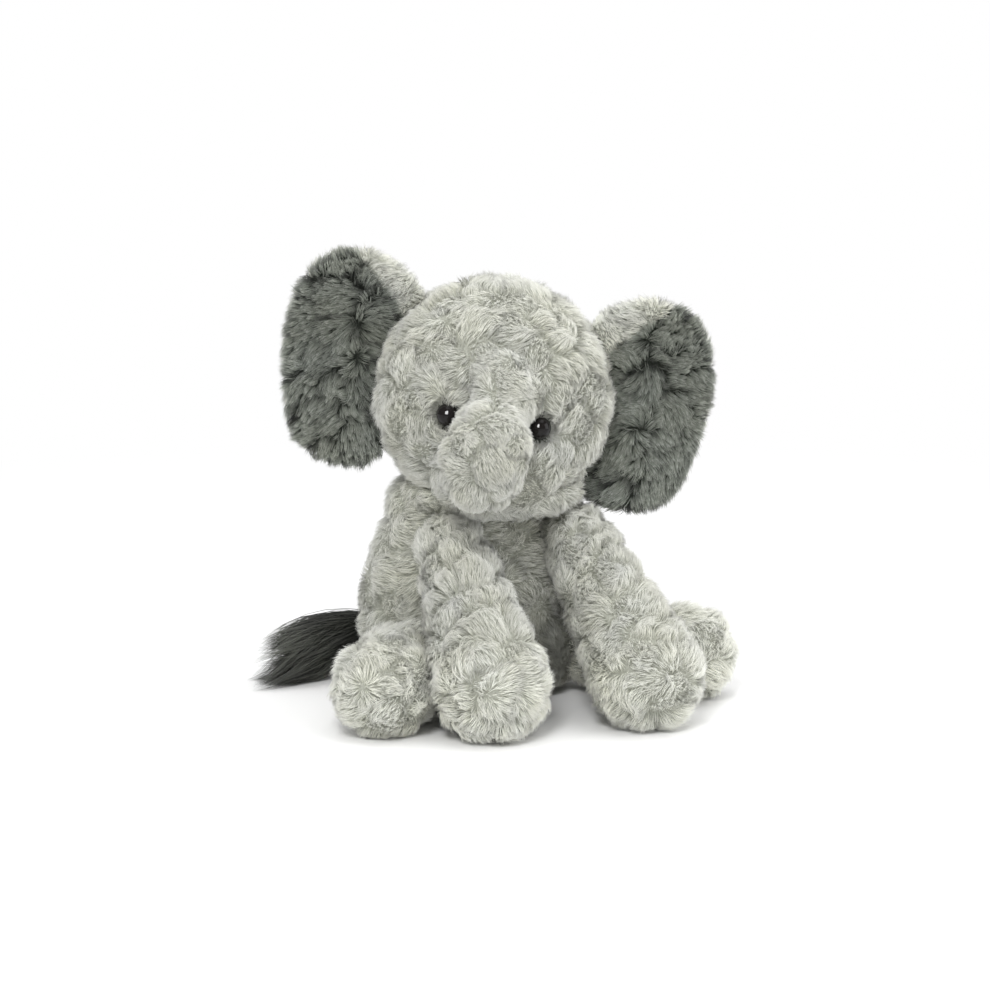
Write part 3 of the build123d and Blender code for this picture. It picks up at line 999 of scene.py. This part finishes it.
def build_ear(side, skin, rng):
    """Dished ear: dark lining in front, pale plush behind, over the rim and at the top of the root."""
    parts = ear_parts(side)
    patches = Patches(skin, rng)
    finish_skin(skin, f"{side}_ear", dark_backing, parts[:2])
    front = unit(centre_of(parts[0]) - centre_of(parts[1]))
    middle = centre_of(*parts)
    out = (middle - HEAD) - HEAD_UP * ((middle - HEAD) @ HEAD_UP)
    out = unit(out - front * (out @ front))

    def across(places):
        return (places - middle) @ out

    def height(places):
        return (places - middle) @ HEAD_UP

    def fan(places, normals):
        sideways = np.tanh(across(places) / (9 * MM))[:, None] * out
        return sideways * 1.3 + HEAD_UP * (height(places) / (34 * MM) - 0.3)[:, None]

    def pale_corner(places):
        return (height(places) - 1.1 * across(places)) > 47 * MM

    facing = nearer_to(parts[0], parts[1])
    middles = np.array([face.center for face in skin.data.polygons])
    pale = ~facing(middles) | pale_corner(middles)
    skin.data.materials.append(light_backing)
    skin.data.polygons.foreach_set("material_index", pale.astype(np.int32))

    grow(f"{side}_ear_lining_pile", f"{side}_ear", skin, patches, PIECE_FIBRES, dark_pile, rng, fan,
         whorl=0.7, weight=lambda p, n: (facing(p) & ~pale_corner(p)) * 1.0,
         lean=1.12, pull=0.58, lock_size=14, pile=1.2 * PILE)
    # The back pile in the pale corner is brightened beyond the pale pile's colour: painted light against the shade
    # it sits in.
    grow(f"{side}_ear_back_pile", f"{side}_ear", skin, patches, 17500, light_pile, rng, fan,
         whorl=0.8, weight=lambda p, n: (~facing(p) | pale_corner(p)) * 1.0,
         painted_light_and_shade=lambda roots: 0.4 * pale_corner(roots))


def build_leg(name, skin, rng, count):
    """Stubby leg with a round sole whose pile fans out from its middle."""
    patches = Patches(skin, rng)
    add_relief(skin, patches, RELIEF)
    finish_skin(skin, name, light_backing, leg_panels(name))
    root = joint_point(leg_joint(name))
    foot = centre_of(f"{name}_sole")
    along = unit(foot - root)
    sole = unit((foot - root) * (1, 1, 0))

    def comb(places, normals):
        away = places - foot
        facing = smoothstep(0.45, 0.8, normals @ sole)[:, None]
        return along * 0.4 * (1 - facing) + away / (20 * MM) * facing

    halves = 2 if count > PIECE_FIBRES else 1
    for half in range(halves):
        def weight(places, normals, half=half):
            low = (places - root) @ along > 0.45 * np.linalg.norm(foot - root)
            return np.ones(len(places)) if halves == 1 else (low == bool(half)) * 1.0
        label = f"{name}_pile" if halves == 1 else f"{name}_{'lower' if half else 'upper'}_pile"
        grow(label, name, skin, patches, count // halves, light_pile, rng, comb, weight=weight,
             painted_light_and_shade=foot_painted_light)


def leg_joint(name):
    """The joint that a leg moves on."""
    return next(j["name"] for j in frame["joints"] if j["child"] == name)


def around_axis(angle, reach, side, up):
    """Offsets from an axis at given angles and distances."""
    return reach[:, None] * (np.cos(angle)[:, None] * side + np.sin(angle)[:, None] * up)


def build_tail(rng):
    """Short plush tube with a brush of long straight hair that ends in loose wisps."""
    skin = even_skin("tail_skin", hull_mesh(("tail_tube",)), 1.2 * MM, 2)
    finish_skin(skin, "tail", light_backing, ("tail_tube",))
    grow("tail_tube_pile", "tail", skin, Patches(skin, rng), 3000, light_pile, rng,
         steady((-1, 0, 0)), whorl=0.2, pile=0.7 * PILE)

    low, high = (np.array(corner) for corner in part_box("tail_tuft"))
    root = joint_point("tail_swing")
    tip = np.array((low[0], (low[1] + high[1]) / 2, low[2] + 4 * MM))
    along = unit(tip - root)
    length = np.linalg.norm(tip - root)
    side = unit(np.cross(along, (0, 0, 1)))
    up = np.cross(side, along)
    count = TAIL_HAIRS
    wisp = rng.integers(0, TAIL_WISPS, count)
    own = around_axis(rng.uniform(0, 2 * pi, count), np.sqrt(rng.random(count)), side, up)
    wisp_spot = around_axis(rng.uniform(0, 2 * pi, TAIL_WISPS), np.sqrt(rng.random(TAIL_WISPS)), side, up)
    wisp_end = rng.uniform(0.84, 1.26, TAIL_WISPS)
    start = rng.uniform(0.2, 0.42, count)
    end = wisp_end[wisp] * rng.uniform(0.8, 1.0, count)
    rings = 6
    line = np.empty((count, rings + 1, 3))
    for ring in range(rings + 1):
        s = ring / rings
        spread = (5 + 15 * sin(s * pi * 0.65)) * MM
        together = 0.88 * s ** 1.4
        place = (start + (end - start) * s) * length
        bend = up * (2 * MM * sin(pi * s) - 1 * MM * s)
        line[:, ring] = (root + along * place[:, None] + bend
                         + (own * (1 - together) + wisp_spot[wisp] * together) * spread)
    shade = rng.random(TAIL_WISPS)
    mesh = fibre_mesh("tail_brush", line, unit(own + up * 0.01), np.full(count, TAIL_HAIR),
                      rng.random(count), shade[wisp])
    mesh.materials.append(tail_pile)
    brush = new_object("tail_brush", mesh)
    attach(brush, "tail")
    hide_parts("tail_tuft")


# ---------------------------------------------------------------- studio


def build_floor():
    """Pale paper floor that fades into white away from the toy."""
    bpy.ops.mesh.primitive_plane_add(size=30, location=(0, 0, -0.2 * MM))
    floor = bpy.context.object
    floor.name = "floor"
    result, tree, shader = material("floor_paper")
    noise = texture_place(tree, 3)
    tree.links.new(
        ramp(tree, noise.outputs["Fac"], ((0.3, (0.86, 0.86, 0.86)), (0.7, (0.9, 0.9, 0.9)))),
        shader.inputs["Base Color"],
    )
    shader.inputs["Roughness"].default_value = 0.9
    place = tree.nodes.new("ShaderNodeTexCoord")
    distance = tree.nodes.new("ShaderNodeVectorMath")
    distance.operation = "LENGTH"
    tree.links.new(place.outputs["Object"], distance.inputs[0])
    far = tree.nodes.new("ShaderNodeMapRange")
    far.inputs["From Min"].default_value = 0.3
    far.inputs["From Max"].default_value = 0.8
    tree.links.new(distance.outputs["Value"], far.inputs["Value"])
    white = tree.nodes.new("ShaderNodeEmission")
    blend = tree.nodes.new("ShaderNodeMixShader")
    tree.links.new(far.outputs["Result"], blend.inputs["Fac"])
    tree.links.new(shader.outputs["BSDF"], blend.inputs[1])
    tree.links.new(white.outputs["Emission"], blend.inputs[2])
    tree.links.new(blend.outputs["Shader"], tree.nodes["Material Output"].inputs["Surface"])
    floor.data.materials.append(result)


def add_lamp(name, place, size, power, aim):
    """Square lamp pointed at a height above the floor's middle."""
    light = bpy.data.lights.new(name, "AREA")
    light.size = size
    light.energy = power
    lamp = bpy.data.objects.new(name, light)
    lamp.location = place
    lamp.rotation_euler = (Vector((0, 0, aim)) - Vector(place)).to_track_quat("-Z", "Y").to_euler()
    bpy.context.scene.collection.objects.link(lamp)
    return lamp


def build_lights():
    """Large soft key light, top and fill lights, a catchlight for the eyes and a white surround."""
    add_lamp("key", (-0.75, -1.1, 1.25), 0.4, 14, 0.12)
    add_lamp("top", (0.2, -0.1, 1.6), 1.4, 9, 0.12)
    add_lamp("fill", (1.3, -1.0, 0.6), 1.2, 10, 0.12)
    eyes_only = bpy.data.collections.new("lit_by_catchlight")
    for side in ("left", "right"):
        eyes_only.objects.link(nodes[f"{side}_eye"])
    catchlight = add_lamp("catchlight", (-0.95, -1.1, 0.85), 0.75, 75, 0.16)
    catchlight.light_linking.receiver_collection = eyes_only

    world = bpy.data.worlds.new("surround")
    bpy.context.scene.world = world
    world.use_nodes = True
    tree = world.node_tree
    path = tree.nodes.new("ShaderNodeLightPath")
    glow = tree.nodes["Background"]
    glow.inputs["Color"].default_value = (1, 1, 1, 1)
    power = maths(tree, "MULTIPLY_ADD", path.outputs["Is Glossy Ray"], -0.7, 0.85)
    power = maths(tree, "MULTIPLY_ADD", path.outputs["Is Camera Ray"], 0.15, power)
    tree.links.new(power, glow.inputs["Strength"])


def build_camera():
    """Camera at the viewing angle of the reference picture."""
    azimuth, elevation, distance = radians(-25), radians(11), 1.5
    target = Vector((-8.6, -30, 116.4)) * MM
    data = bpy.data.cameras.new("camera")
    data.lens = 100.9
    data.sensor_width = 36
    camera = bpy.data.objects.new("camera", data)
    offset = Vector((sin(azimuth) * cos(elevation), -cos(azimuth) * cos(elevation), sin(elevation)))
    camera.location = target + offset * distance
    camera.rotation_euler = (-offset).to_track_quat("-Z", "Y").to_euler()
    bpy.context.scene.collection.objects.link(camera)
    bpy.context.scene.camera = camera
    bpy.context.scene.view_settings.view_transform = "Standard"


rng = np.random.default_rng(SEED)
dress_inner_parts()
skins = make_skins()
build_torso(skins["torso"], rng)
build_head(skins["head"], rng)
build_neck(rng)
build_trunk(skins["trunk"], rng)
for side in ("left", "right"):
    build_ear(side, skins[f"{side}_ear"], rng)
for name in LEG_NAMES:
    build_leg(name, skins[name], rng, FORELEG_FIBRES if "fore" in name else PIECE_FIBRES)
build_tail(rng)
build_floor()
build_lights()
build_camera()
